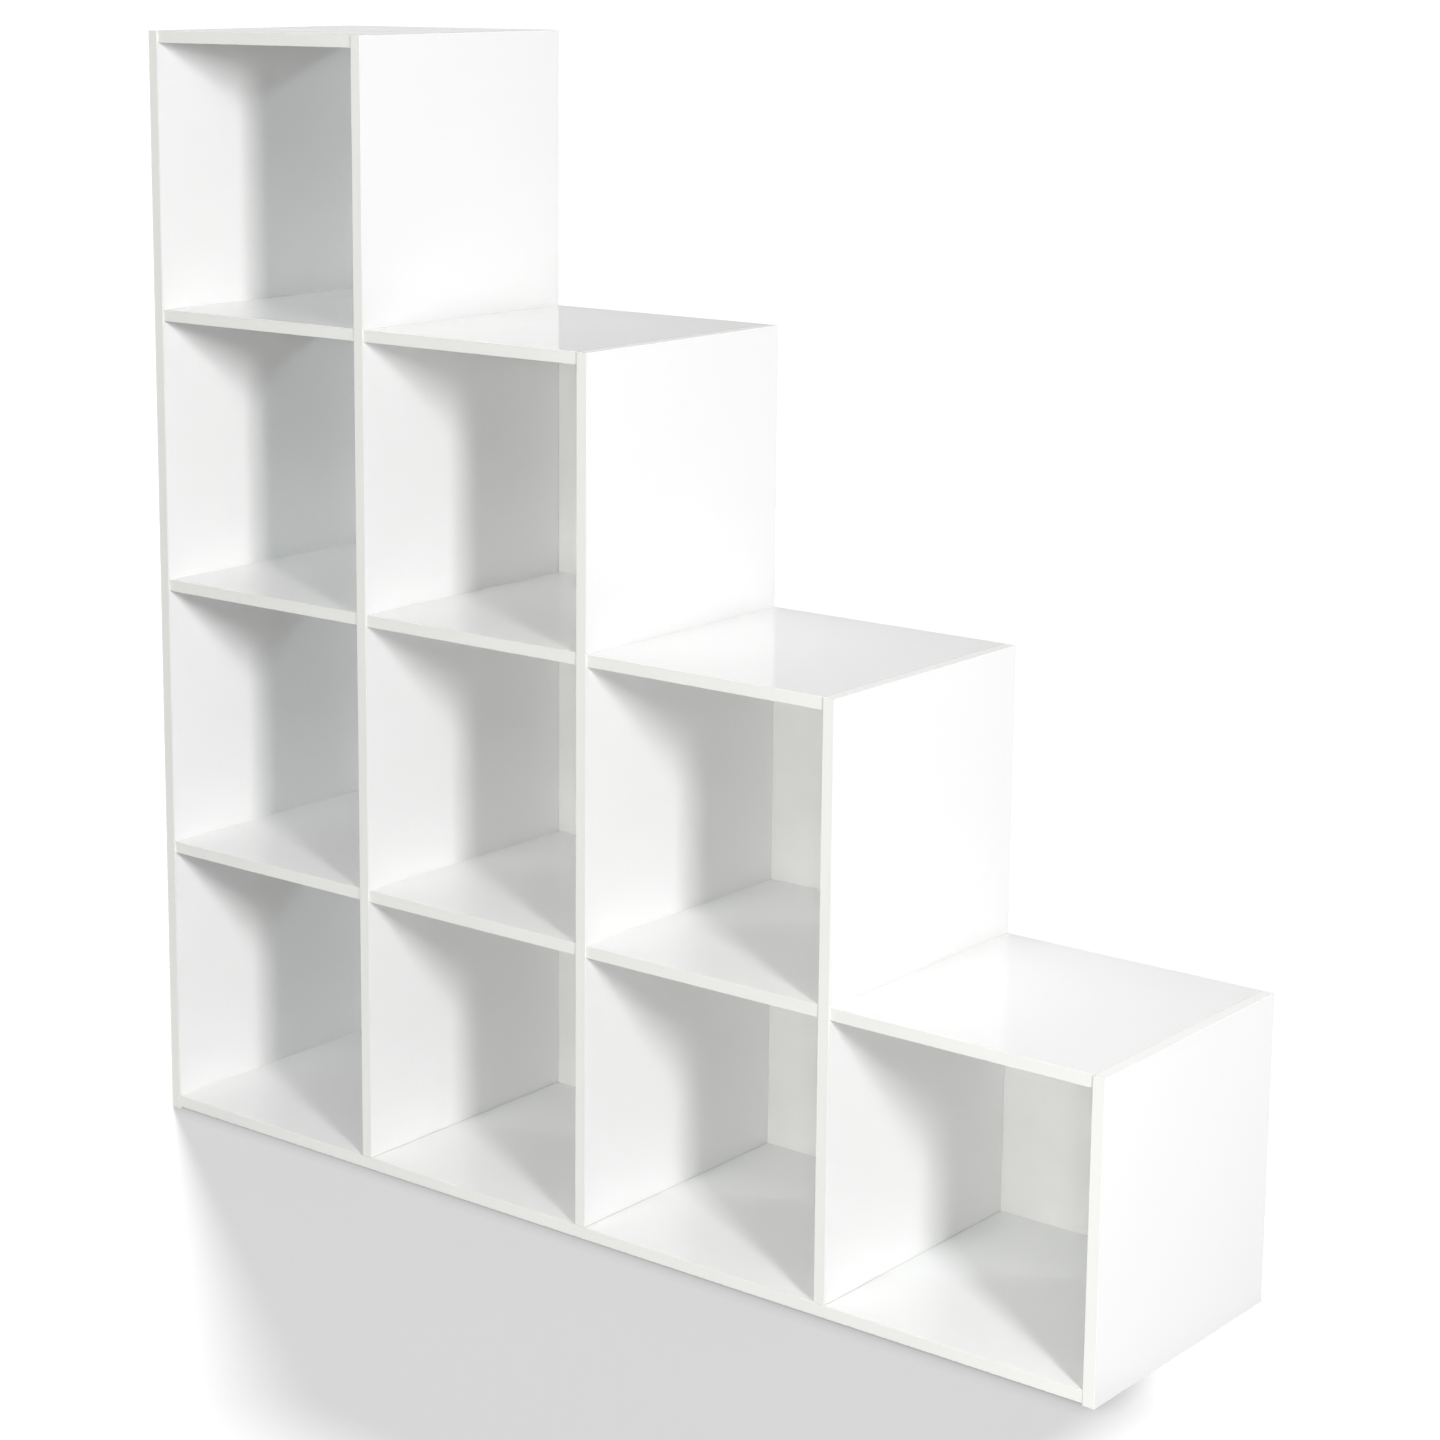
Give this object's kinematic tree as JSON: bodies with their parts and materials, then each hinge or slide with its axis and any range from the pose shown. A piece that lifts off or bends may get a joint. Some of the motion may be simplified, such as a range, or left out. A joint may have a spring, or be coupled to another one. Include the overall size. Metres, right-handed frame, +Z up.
{
  "type": "staircase bookshelf",
  "caption": "Free-standing open bookshelf of white boards whose columns of equal cubes step down like stairs from the left to the right.",
  "frame": {"origin": "centre of the footprint, on the floor", "axes": "+X from the tall end to the low end, +Y from the open front to the back, +Z up"},
  "size_m": [1.14, 0.2982, 1.142],
  "materials": {
    "white_melamine": "particleboard faced with semi-gloss white melamine, faint pearl texture",
    "edge_band": "thin satin edge banding, a little creamier than the faces, on every front edge",
    "white_hardboard": "thin fibreboard, white lacquered on the room side and raw brown behind",
    "zinc_alloy": "die-cast zinc cams with steel bolts, satin",
    "plated_steel": "zinc-plated countersunk screws and small nails"
  },
  "bodies": {
    "root": {"left_side_board": "white_melamine", "upright_2": "white_melamine", "upright_3": "white_melamine", "upright_4": "white_melamine", "right_side_board": "white_melamine", "bottom_board": "white_melamine", "column_1_shelf_1": "white_melamine", "column_1_shelf_2": "white_melamine", "column_1_shelf_3": "white_melamine", "column_1_top": "white_melamine", "column_2_shelf_1": "white_melamine", "column_2_shelf_2": "white_melamine", "column_2_top": "white_melamine", "column_3_shelf_1": "white_melamine", "column_3_top": "white_melamine", "column_4_top": "white_melamine", "back_panel_1": "white_hardboard", "back_panel_2": "white_hardboard", "back_panel_3": "white_hardboard", "back_panel_4": "white_hardboard", "cam_fitting_upright_1_level_0_front": "zinc_alloy", "cam_fitting_upright_1_level_0_rear": "zinc_alloy", "cam_fitting_upright_1_level_1_front": "zinc_alloy", "cam_fitting_upright_1_level_1_rear": "zinc_alloy", "cam_fitting_upright_1_level_2_front": "zinc_alloy", "cam_fitting_upright_1_level_2_rear": "zinc_alloy", "cam_fitting_upright_1_level_3_front": "zinc_alloy", "cam_fitting_upright_1_level_3_rear": "zinc_alloy", "cam_fitting_upright_1_level_4_front": "zinc_alloy", "cam_fitting_upright_1_level_4_rear": "zinc_alloy", "cam_fitting_upright_2_level_1_front": "zinc_alloy", "cam_fitting_upright_2_level_1_rear": "zinc_alloy", "cam_fitting_upright_2_level_2_front": "zinc_alloy", "cam_fitting_upright_2_level_2_rear": "zinc_alloy", "cam_fitting_upright_2_level_3_front": "zinc_alloy", "cam_fitting_upright_2_level_3_rear": "zinc_alloy", "cam_fitting_upright_2_level_4_front": "zinc_alloy", "cam_fitting_upright_2_level_4_rear": "zinc_alloy", "cam_fitting_upright_3_level_1_front": "zinc_alloy", "cam_fitting_upright_3_level_1_rear": "zinc_alloy", "cam_fitting_upright_3_level_2_front": "zinc_alloy", "cam_fitting_upright_3_level_2_rear": "zinc_alloy", "cam_fitting_upright_3_level_3_front": "zinc_alloy", "cam_fitting_upright_3_level_3_rear": "zinc_alloy", "cam_fitting_upright_4_level_1_front": "zinc_alloy", "cam_fitting_upright_4_level_1_rear": "zinc_alloy", "cam_fitting_upright_4_level_2_front": "zinc_alloy", "cam_fitting_upright_4_level_2_rear": "zinc_alloy", "cam_fitting_upright_5_level_0_front": "zinc_alloy", "cam_fitting_upright_5_level_0_rear": "zinc_alloy", "cam_fitting_upright_5_level_1_front": "zinc_alloy", "cam_fitting_upright_5_level_1_rear": "zinc_alloy", "foot_screw_upright_2_front": "plated_steel", "foot_screw_upright_2_rear": "plated_steel", "foot_screw_upright_3_front": "plated_steel", "foot_screw_upright_3_rear": "plated_steel", "foot_screw_upright_4_front": "plated_steel", "foot_screw_upright_4_rear": "plated_steel"}
  },
  "joints": []
}
